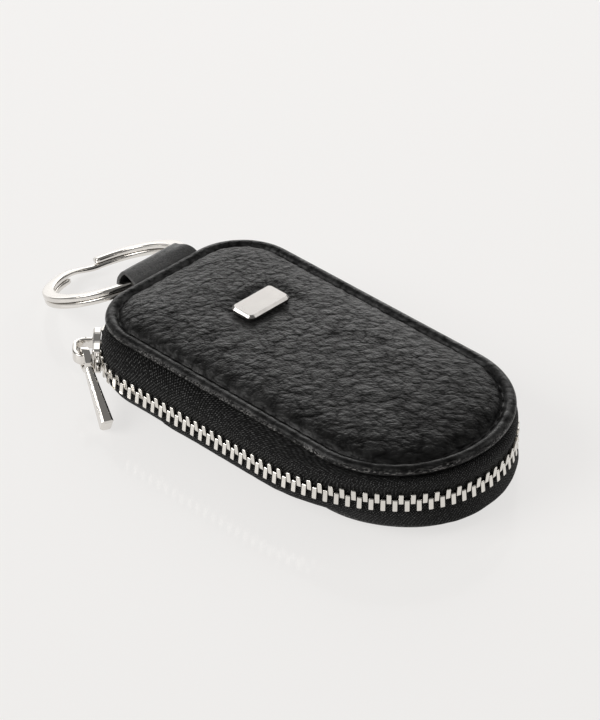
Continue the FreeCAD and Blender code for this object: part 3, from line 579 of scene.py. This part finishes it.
def pebble_heights(places):
    """Height of the leather's pebbles at places on its hide, from 0 in a crease to 1 on top."""
    nearest = np.zeros((*places.shape[:-1], 2))
    for index in np.ndindex(places.shape[:-1]):
        place = Vector(places[index])
        warp = Vector([noise.noise(place * PEBBLE_WARP_SCALE + offset) for offset in WARP_OFFSETS])
        nearest[index] = noise.voronoi(place + PEBBLE_WARP * warp)[0][:2]
    first, second = nearest[..., 0], nearest[..., 1]
    domes = np.interp(first, *zip(*PEBBLE_PROFILE))
    creases = 1 - ease(second - first, 0.0, CREASE_WIDTH)
    return domes * (1 - CREASE_SHARE * creases)


def sink_badge(points):
    """Lowers the points of the crown under the plate and round it."""
    off_x = np.abs(points[:, :, 0] - BADGE_MIDDLE[0]) - BADGE_HALF[0]
    off_y = np.abs(points[:, :, 1] - BADGE_MIDDLE[1]) - BADGE_HALF[1]
    away = np.hypot(np.maximum(off_x, 0), np.maximum(off_y, 0))
    points[:, :, 2] -= BADGE_SINK * (1 - ease(away, 0.0, BADGE_SLOPE))


def make_cover(name, upper, body, nodes):
    """Leather of one panel: turned-in edge, roll with painted highlight specks, puckered groove, and pebbled
    crown with painted shade towards the nose.
    """
    section = smooth_line(COVER_SECTION, COVER_STEP, passes=2)
    rows = panel_rows(section)
    # The wrap of a closed ring is given to the gradient by one more column at each end.
    padded = np.concatenate([rows[:, -1:], rows, rows[:, :1]], axis=1)
    normals = grid_normals(padded)[:, 1:-1]
    seed = 0.0 if upper else LOWER_COVER_SEED

    # Down the section, as a column, and round the panel.
    insets, levels = section[:, :1], section[:, 1:]
    around = lengths_along(outline_points(PANEL, GROOVE_INSET))
    outside = grid_index(len(section), 1) >= np.argmin(insets)
    on_crown = ease(insets, GROOVE_INSET, CROWN_INSET) * outside
    pinches = bell(insets, GROOVE_INSET, PUCKER_REACH) * outside
    # Strip along the roll's outer edge that holds the painted highlight.
    edges = bell(levels, *HIGHLIGHT_LEVEL) * bell(insets, *HIGHLIGHT_INSET)
    edges = edges * (edges > HIGHLIGHT_LEAST) * outside

    slanted = around / PUCKER_LENGTH + insets * PUCKER_SLANT
    pucker = noise_at(slanted, insets / PUCKER_WIDTH, seed) * PUCKER_HEIGHT
    pucker -= STITCH_PULL * np.cos(2 * math.pi * around / STITCH_PITCH)
    x, y = rows[:, :, 0], rows[:, :, 1]
    swell = noise_at(x / SWELL_LENGTH, y / SWELL_LENGTH, seed + SWELL_SEED) * SWELL_HEIGHT
    lift = pinches * pucker + on_crown * swell
    # Painted highlight: pale specks in patches along that strip of the roll.
    patches = noise_at(around / HIGHLIGHT_PATCH, seed, HIGHLIGHT_SEED)
    fine_patches = noise_at(around * HIGHLIGHT_FINE_ALONG, levels * HIGHLIGHT_FINE_UP, seed)
    painted_highlight = edges * np.clip(patches + HIGHLIGHT_FINE_SHARE * fine_patches + HIGHLIGHT_SHARE, 0, 1)

    places = grain_places(rows + np.array((0.0, 0.0, seed)))
    pebbles = pebble_heights(places)
    lift += PEBBLE_RISE * on_crown * (pebbles - pebbles.mean())
    points = rows + normals * lift[:, :, None]
    if upper:
        sink_badge(points)
    points = stand(points, upper)
    points[:, :, 2] = np.maximum(points[:, :, 2], 0.0)

    index = grid_index(*rows.shape[:2])
    faces = grid_faces(close_ring(index))
    faces.append(index[0, ::-1].tolist())
    faces += seam_faces(index[-1])
    piece = new_object(name, points, faces)
    depths = ROLL_GRAIN + (1 - ROLL_GRAIN) * on_crown
    # Painted shade: the crown's gloss falls towards the nose.
    shaded_gloss_share = 1 - (1 - NOSE_SHADED_GLOSS) * on_crown * (1 - ease(y, *NOSE_SHADE_SPAN))
    set_grain(piece, places, depths, painted_highlight, shaded_gloss_share, pebbles)
    settle(piece, body, leather, nodes)


def make_stitches(name, upper, body):
    """Sewn thread in the groove of a cover: one short arched run for each stitch."""
    line = outline_points(PANEL, GROOVE_INSET)
    line = np.vstack([line, line[:1]])
    reach = lengths_along(line)
    total = int(reach[-1] / STITCH_PITCH)
    pitch = reach[-1] / total
    shares = np.linspace(0, 1, STITCH_STEPS)
    places = np.arange(total)[:, None] * pitch + (shares - 0.5) * STITCH_LENGTH

    def on_line(distances):
        return [np.interp(distances % reach[-1], reach, column) for column in line.T]

    x, y = on_line(places)
    ahead_x, ahead_y = on_line(places + STITCH_AHEAD)
    heading = np.arctan2(ahead_y - y, ahead_x - x)[:, :, None]
    arch = np.sin(math.pi * shares)[:, None]
    level = STITCH_LEVEL - STITCH_DIP * (1 - arch) ** 2
    radius = STITCH_RADIUS * (STITCH_END_SHARE + STITCH_MIDDLE_SHARE * arch)
    angles = 2 * math.pi * np.arange(STITCH_SIDES) / STITCH_SIDES
    out = radius * np.cos(angles)
    points = np.stack(np.broadcast_arrays(x[:, :, None] - out * np.sin(heading),
                                          y[:, :, None] + out * np.cos(heading),
                                          level + radius * np.sin(angles)), axis=-1)
    tubes = grid_index(total, STITCH_STEPS, STITCH_SIDES)
    faces = [face for tube in tubes for face in tube_faces(tube)]
    piece = new_object(name, stand(points, upper), faces)
    piece.data.uv_layers.new(name=CLOTH_UV)
    settle(piece, body, thread)


# Zip tapes

TAPE_THICK = 0.55
# Distances inside the panel's edge and level of a tape while it is sewn in.
SEWN_INSETS = (4.6, 3.6, 2.6, 1.9, 1.2)
TAPE_LEVEL = 4.98
# Course of a tape from its seam to the zip's line: share of the way out, level from the zip's middle.
TAPE_EDGE = 0.6
PLAIN_COURSE = (
    (0.0, 4.98), (0.2, 4.95), (0.4, 4.82), (0.6, 4.55), (0.8, 4.1), (0.95, 3.5), (1.0, 3.0), (1.0, 2.0),
    (1.0, TAPE_EDGE),
)
# At the nose the tapes stand out fuller. The lower one hides its panel's edge there.
FULL_UPPER_COURSE = (
    (0.0, 4.98), (0.25, 4.97), (0.5, 4.93), (0.8, 4.75), (1.05, 4.3), (1.2, 3.6), (1.2, 2.8), (1.08, 1.9),
    (1.0, 1.3), (1.0, TAPE_EDGE),
)
FULL_LOWER_COURSE = (
    (0.0, 4.98), (0.3, 5.0), (0.6, 5.1), (0.82, 5.4), (0.92, 5.95), (1.03, 6.4), (1.2, 6.3), (1.3, 5.6),
    (1.28, 4.4), (1.18, 3.0), (1.06, 1.9), (1.0, 1.3), (1.0, TAPE_EDGE),
)
COURSE_POINTS = 50
COURSE_PASSES = 3
# How far ahead of the case's middle the fullness begins and is whole.
FULL_SPAN = (18.0, 34.0)
# Share of that fullness that the lower tape has everywhere.
LOWER_FULLNESS = 0.4
# Where the slider runs, no tape stands out past the zip's line; ahead of this span it may.
BULGE_SPAN = (-18.0, -6.0)
# Slack: its height, between which levels and shares of the course it grows, and its long and short waves.
SLACK_HEIGHT = 0.16
SLACK_LEVELS = (1.5, 3.5)
SLACK_SHARES = (0.0, 0.5)
SLACK_LONG = 7.0
SLACK_SHORT = 2.6
SLACK_SHORT_SHARE = 0.5
SLACK_SHORT_SEED = 4.0
UPPER_TAPE_SEED = 11.0
LOWER_TAPE_SEED = 47.0
# A tape ends at the spine's sides. Between these two places the upper one turns from the lid to the case.
SPINE_EDGE = 13.2
LID_TAPE_BACK = 20.0


def make_tape(name, upper):
    """Tape of one half of the zip, from its seam under the panel's edge to the teeth."""
    panel_tuck = outline_points(PANEL, SEWN_INSETS[-1])
    zip_line = outline_points(ZIP, -TAPE_THICK / 2)
    around = lengths_along(zip_line)
    ahead = -zip_line[:, 1]
    kept = np.flatnonzero((zip_line[:, 1] < LID_TAPE_BACK) | (np.abs(zip_line[:, 0]) > SPINE_EDGE))[::-1]

    course = even_line(PLAIN_COURSE, COURSE_POINTS, COURSE_PASSES)
    full_course = even_line(FULL_UPPER_COURSE if upper else FULL_LOWER_COURSE, COURSE_POINTS, COURSE_PASSES)
    fullness = ease(ahead, *FULL_SPAN)
    if not upper:
        fullness = np.maximum(fullness, LOWER_FULLNESS)
    furthest = 1 + ease(ahead, *BULGE_SPAN)
    sewn = panel_rows([(inset, TAPE_LEVEL) for inset in SEWN_INSETS[:-1]])
    rows = list(sewn)
    for plain, full in zip(course, full_course):
        shares, levels = (plain[k] * (1 - fullness) + full[k] * fullness for k in (0, 1))
        shares = np.minimum(shares, furthest)[:, None]
        plan = panel_tuck * (1 - shares) + zip_line * shares
        rows.append(np.column_stack([plan, levels]))
    rows = np.array(rows)[:, kept]

    free = ease(course[:, 1], *SLACK_LEVELS) * ease(course[:, 0], *SLACK_SHARES)
    slack = np.concatenate([np.zeros(len(sewn)), free])
    seed = UPPER_TAPE_SEED if upper else LOWER_TAPE_SEED
    wave = noise_at(around[kept] / SLACK_LONG, seed, 0.0)
    wave = wave + SLACK_SHORT_SHARE * noise_at(around[kept] / SLACK_SHORT, seed, SLACK_SHORT_SEED)
    rows += grid_normals(rows) * (slack[:, None] * SLACK_HEIGHT * wave)[:, :, None]
    rows = stand(rows, upper)
    piece = thick_sheet(name, rows, TAPE_THICK)
    return piece


# Metal

RING_CENTRE = (0.95, 56.7775, 7.3957)
RING_DROOP = math.radians(24.804)
RING_OUTER = 15.0
RING_WIRE = 2.5
# The two turns: thickness of the wire, level of each, and the angles of the climb and of the wire's start.
COIL_THICK = 1.14
COIL_LEVEL = 0.6
COIL_RAMP = 30.0
COIL_PHASE = 98.0
COIL_STEP = 2.0
# Points round the wire, and the power that makes its section flat with rounded corners.
WIRE_CORNERS = 20
WIRE_POWER = 0.38
# The wire's ends are thinner by this share, over this angle.
WIRE_TAPER = 0.35
WIRE_TAPER_ANGLE = 4.0

WELD_REACH = 1e-6
METAL_EDGE_ANGLE = 28
TOOTH_EASE = 0.2
TOOTH_SEGMENTS = 3


def make_ring():
    """Split ring: rounded flat wire in two turns, swept with its climb from one turn to the other."""
    turn = 360.0 - COIL_RAMP
    angles = np.linspace(0, 2 * math.pi, WIRE_CORNERS, endpoint=False)
    cos, sin = np.cos(angles), np.sin(angles)
    out = RING_WIRE / 2 * np.sign(cos) * np.abs(cos) ** WIRE_POWER
    up = COIL_THICK / 2 * np.sign(sin) * np.abs(sin) ** WIRE_POWER

    # Along the wire, as a column, in degrees. The added half step keeps its end.
    places = np.arange(0.0, 2 * turn + COIL_RAMP + COIL_STEP / 2, COIL_STEP)[:, None]
    level = COIL_LEVEL * (2 * ease(places, turn, turn + COIL_RAMP) - 1)
    from_end = np.minimum(places, places[-1] - places) / WIRE_TAPER_ANGLE
    taper = 1 - WIRE_TAPER * np.maximum(0, 1 - from_end) ** 2
    heading = np.radians(places + COIL_PHASE)
    radius = RING_OUTER - RING_WIRE / 2 + out * taper
    x, y, z = radius * np.cos(heading), radius * np.sin(heading), level + up * taper

    cos, sin = math.cos(RING_DROOP), math.sin(RING_DROOP)
    points = np.stack([x, y * cos + z * sin, z * cos - y * sin], axis=-1) + np.array(RING_CENTRE)
    piece = new_object("split_ring_wire", points, tube_faces(grid_index(*x.shape), flip=True))
    settle(piece, "ring", nickel, ["split_ring"])


def ease_edges(piece, width, segments):
    """Joins a CAD mesh's faces and rounds its edges."""
    weld = piece.modifiers.new("weld", "WELD")
    weld.merge_threshold = WELD_REACH
    bevel = add_bevel(piece, width, segments, METAL_EDGE_ANGLE)
    bevel.harden_normals = True


def dress_metal(node, material, width, segments):
    """CAD node kept as it is, with its edges eased."""
    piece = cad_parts[node]
    piece.data.materials.clear()
    piece.data.materials.append(material)
    ease_edges(piece, width, segments)


def bend_teeth(node):
    """Teeth on a tape end: a copy of the CAD row, with its edges eased and its place baked into the mesh."""
    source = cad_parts[node]
    piece = add_object(f"{node}_row", source.data.copy())
    piece.matrix_world = source.matrix_world
    piece.data.materials.clear()
    settle(piece, None, tooth_metal, [node])
    ease_edges(piece, TOOTH_EASE, TOOTH_SEGMENTS)
    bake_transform(piece)


# Tab, spine and linings

RIM_SEGMENTS = 2
RIM_ANGLE = 50

TAB_SIDES = (-6.15, 8.05)
TAB_THICK = 0.7
# Strap of the tab, seen from its end: distance behind the origin, height above the table.
TAB_SECTION = (
    (41.9, 6.5), (41.9, 9.5), (41.95, 12.0), (42.4, 13.9), (43.6, 15.0), (45.2, 15.8), (46.4, 16.12),
    (47.15, 15.75), (47.75, 15.0), (48.45, 13.8), (48.75, 12.3), (48.6, 11.2), (47.9, 10.3), (46.3, 9.35),
    (44.4, 9.15), (43.2, 8.6), (42.62, 7.6), (42.6, 6.5),
)
TAB_STEP = 0.22
TAB_COLUMNS = 80
TAB_GRAIN = 0.7
TAB_RIM = 0.16
# The strap flares to the right where it meets the case, and bulges there between the case and its fold.
TAB_FLARE = 2.8
TAB_BULGE = 0.7
TAB_BASE = (42.0, 46.4)
# From this height on, over this span, the strap is free to bulge and ripple.
TAB_FREE_FROM = 13.5
TAB_FREE_SPAN = 2.0
TAB_RIPPLE = 0.12
TAB_RIPPLE_ACROSS = 4.0
TAB_RIPPLE_ALONG = 5.0

SPINE_HALF = 13.0
SPINE_BACK = 41.2
SPINE_LEVELS = (3.8, 13.5)
SPINE_ROWS = 36
SPINE_COLUMNS = 90
SPINE_THICK = 0.95
SPINE_GRAIN = 0.6
SPINE_RIM = 0.15
SPINE_RIPPLE = 0.08
SPINE_RIPPLE_ACROSS = 5.0
SPINE_RIPPLE_UP = 4.0
SPINE_SEED = 20.0
# Its lining: how far inside the spine's outer face it lies, between which heights, and how thick it is.
SPINE_LINING_INSET = 1.02
SPINE_LINING_LEVELS = (5.1, 12.5)
SPINE_LINING_THICK = 0.33

# Section of a lining, from its turned edge to the middle: distance inside the panel's edge, level.
LINING_SECTION = ((2.35, 4.36), (2.4, 4.08), (2.8, 4.0), (4.5, 4.0), (8.0, 4.02), (21.8, 4.02))
LINING_STEP = 0.4
# A lining takes one of so many points round the panel.
LINING_STRIDE = 2
# Waves of the cloth: height, length, and between which insets they grow.
LINING_WAVE = 0.07
LINING_WAVE_LENGTH = 8.0
LINING_WAVE_SPAN = (2.6, 6.0)
UPPER_LINING_SEED = 3.0
LOWER_LINING_SEED = 8.0


def make_tab():
    """Folded strap that holds the ring."""
    section = smooth_line(TAB_SECTION, TAB_STEP, passes=2)
    across = np.linspace(*TAB_SIDES, TAB_COLUMNS)
    rows = np.zeros((len(section), TAB_COLUMNS, 3))
    rows[:, :, 0] = across
    rows[:, :, 1:] = section[:, None, :]

    # Along the strap, as a column.
    y, z = section[:, :1], section[:, 1:]
    front = grid_index(len(section), 1) < np.argmax(z)
    base = (1 - ease(y, *TAB_BASE)) * front
    right = ease(across, 0.0, TAB_SIDES[1])
    free = np.clip((z - TAB_FREE_FROM) / TAB_FREE_SPAN, 0, 1)
    # Highest half way up the base.
    swell = TAB_BULGE * 4 * base * (1 - base)
    ripple = TAB_RIPPLE * noise_at(across / TAB_RIPPLE_ACROSS, y / TAB_RIPPLE_ALONG, z / TAB_RIPPLE_ALONG)
    rows[:, :, 0] += TAB_FLARE * base * right
    rows[:, :, 2] += free * (ripple + swell * right)

    piece = thick_sheet("tab_strap", rows, TAB_THICK)
    reach = lengths_along(section)[:, None]
    places = np.stack(np.broadcast_arrays(across / TAB_GRAIN, reach / TAB_GRAIN, 0.0), axis=-1)
    set_grain(piece, both_sides(places), depths=1.0)
    settle(piece, "case", tab_leather, ["ring_tab"])
    add_bevel(piece, TAB_RIM, RIM_SEGMENTS, RIM_ANGLE)


def make_spine():
    """Leather across the back, and the cloth inside it."""
    heights = np.linspace(*SPINE_LEVELS, SPINE_ROWS)[:, None]
    across = np.linspace(-SPINE_HALF, SPINE_HALF, SPINE_COLUMNS)[::-1]
    ripple = SPINE_RIPPLE * noise_at(across / SPINE_RIPPLE_ACROSS, heights / SPINE_RIPPLE_UP, SPINE_SEED)
    rows = np.zeros((SPINE_ROWS, SPINE_COLUMNS, 3))
    rows[:, :, 0] = across
    rows[:, :, 1] = SPINE_BACK + (ripple - SPINE_RIPPLE / 2)
    rows[:, :, 2] = heights
    piece = thick_sheet("spine_leather", rows, SPINE_THICK)
    set_grain(piece, both_sides(grain_places(rows)), SPINE_GRAIN)
    settle(piece, "case", leather, ["spine"])
    add_bevel(piece, SPINE_RIM, RIM_SEGMENTS, RIM_ANGLE)

    inner = rows.copy()
    inner[:, :, 1] = SPINE_BACK - SPINE_LINING_INSET
    inner[:, :, 2] = np.linspace(*SPINE_LINING_LEVELS, SPINE_ROWS)[:, None]
    lining = thick_sheet("spine_lining_cloth", inner, SPINE_LINING_THICK)
    settle(lining, "case", lining_cloth, ["spine_lining"])


def make_lining(name, upper, body, node):
    """Cloth glued over the board, with a turned edge."""
    section = smooth_line(LINING_SECTION, LINING_STEP, passes=1)
    rows = panel_rows(section)[:, ::LINING_STRIDE]
    soft = ease(section[:, :1], *LINING_WAVE_SPAN)
    seed = UPPER_LINING_SEED if upper else LOWER_LINING_SEED
    wave = noise_at(rows[:, :, 0] / LINING_WAVE_LENGTH, rows[:, :, 1] / LINING_WAVE_LENGTH, seed)
    rows[:, :, 2] += LINING_WAVE * soft * wave

    index = grid_index(*rows.shape[:2])
    faces = grid_faces(close_ring(index), flip=True) + seam_faces(index[-1], flip=True)
    points = stand(rows, upper)
    piece = new_object(name, points, faces)
    set_cloth_uv(piece, points.reshape(-1, 3)[:, :2])
    settle(piece, body, lining_cloth, [node])


make_cover("top_cover_leather", True, "lid", ["top_cover", "top_padding", "top_board"])
make_cover("bottom_cover_leather", False, "case", ["bottom_cover", "bottom_padding", "bottom_board"])
make_stitches("top_stitches", True, "lid")
make_stitches("bottom_stitches", False, "case")

upper_tape = make_tape("upper_tape_cloth", True)
settle(upper_tape, None, tape_cloth, ["upper_tape", "upper_tape_left_end", "upper_tape_right_end"])
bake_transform(upper_tape)
settle(make_tape("lower_tape_cloth", False), "case", tape_cloth, ["lower_tape"])

make_tab()
make_spine()
make_lining("top_lining_cloth", True, "lid", "top_lining")
make_lining("bottom_lining_cloth", False, "case", "bottom_lining")
make_ring()
for row_node in ("upper_teeth", "lower_teeth", "lower_teeth_left_end", "top_stops", "bottom_stop"):
    dress_metal(row_node, tooth_metal, TOOTH_EASE, TOOTH_SEGMENTS)
for row_node in ("upper_teeth_left_end", "upper_teeth_right_end"):
    bend_teeth(row_node)
dress_metal("slider_body", nickel, width=0.12, segments=2)
dress_metal("slider_bail", nickel, width=0.28, segments=3)
dress_metal("pull_tab", nickel, width=0.12, segments=2)
dress_metal("badge_plate", shaded_badge_nickel, width=0.08, segments=2)


# Stage, light and camera, in metres

FLOOR_HALF = 3.0
FLOOR_COLOUR = (0.8, 0.795, 0.79, 1.0)
FLOOR_SHOWN = (0.98, 0.965, 0.95, 1.0)
FLOOR_SHOWN_SHARE = 0.72

LAMP_SIZE = (1.4, 1.0)
LAMP_COLOUR = (1.0, 0.99, 0.97)

# Middle of the dome's bright field, how near to it a direction starts and stops to brighten, and how much.
BRIGHT_SIDE = (0.69, 0.69, 0.21)
BRIGHT_SPAN = (0.83, 1.05)
WORLD_LEVELS = (0.2, 3.8)
WORLD_COLOUR = (1.0, 0.99, 0.975, 1.0)

CAMERA_PLACE = (-0.41852, -0.40491, 0.42010)
CAMERA_BACK = (-0.5866, -0.5739, 0.5714)
CAMERA_LENS = 188.10
CAMERA_SENSOR = 36.0
CAMERA_NEAR = 0.01


def make_floor():
    """Glossy pale floor: part of what the camera sees is its own even tone, the rest holds the shadow."""
    mesh = bpy.data.meshes.new("floor")
    corners = [(x * FLOOR_HALF, y * FLOOR_HALF, 0) for x, y in ((-1, -1), (1, -1), (1, 1), (-1, 1))]
    mesh.from_pydata(corners, [], [(0, 1, 2, 3)])
    floor = add_object("floor", mesh)
    material, shader = new_material("pale_floor", Base_Color=FLOOR_COLOUR, Roughness=0.12,
                                    Specular_IOR_Level=0.5)
    path = add_node(material, "LightPath").outputs
    seen = math_node(material, "ADD", path["Is Camera Ray"], path["Is Glossy Ray"])
    seen = math_node(material, "ADD", seen, path["Is Transmission Ray"])
    seen = math_node(material, "MULTIPLY", seen, FLOOR_SHOWN_SHARE)
    shown = add_node(material, "Emission", {"Color": FLOOR_SHOWN, "Strength": 1.0}).outputs["Emission"]
    mixed = add_node(material, "MixShader", {0: seen, 1: shader.outputs["BSDF"], 2: shown}).outputs["Shader"]
    link(material, mixed, material.node_tree.nodes["Material Output"].inputs["Surface"])
    mesh.materials.append(material)


def add_lamp(name, place, power):
    """Soft lamp that faces the origin."""
    lamp = bpy.data.lights.new(name, "AREA")
    lamp.shape = "RECTANGLE"
    lamp.size, lamp.size_y = LAMP_SIZE
    lamp.energy = power
    lamp.color = LAMP_COLOUR
    holder = add_object(name, lamp)
    holder.location = place
    holder.rotation_euler = (-Vector(place)).to_track_quat("-Z", "Y").to_euler()


def make_world():
    """Dim studio dome with one bright field, low behind the case as the camera sees it."""
    world = bpy.data.worlds.new("studio")
    bpy.context.scene.world = world
    world.use_nodes = True
    shade = world.node_tree.nodes["Background"]
    shade.inputs["Color"].default_value = WORLD_COLOUR
    direction = add_node(world, "TexCoord").outputs["Generated"]
    toward = vector_node(world, "DOT_PRODUCT", direction, BRIGHT_SIDE)["Value"]
    level = map_range(world, toward, span=BRIGHT_SPAN, result=WORLD_LEVELS, curve="SMOOTHSTEP")
    link(world, level, shade.inputs["Strength"])


def make_camera():
    """Camera at the photograph's viewing angle."""
    back = Vector(CAMERA_BACK).normalized()
    right = Vector((0, 0, 1)).cross(back).normalized()
    up = back.cross(right)
    lens = bpy.data.cameras.new("camera")
    lens.sensor_width = CAMERA_SENSOR
    lens.lens = CAMERA_LENS
    lens.clip_start = CAMERA_NEAR
    camera = add_object("camera", lens)
    turn = Matrix((right, up, back)).transposed().to_4x4()
    camera.matrix_world = Matrix.Translation(CAMERA_PLACE) @ turn
    bpy.context.scene.camera = camera


make_floor()
make_world()
add_lamp("left", (-1.5, 0.7, 1.2), power=24.0)
add_lamp("right", (1.5, -0.7, 1.2), power=6.0)
make_camera()
bpy.context.scene.view_settings.view_transform = "Standard"
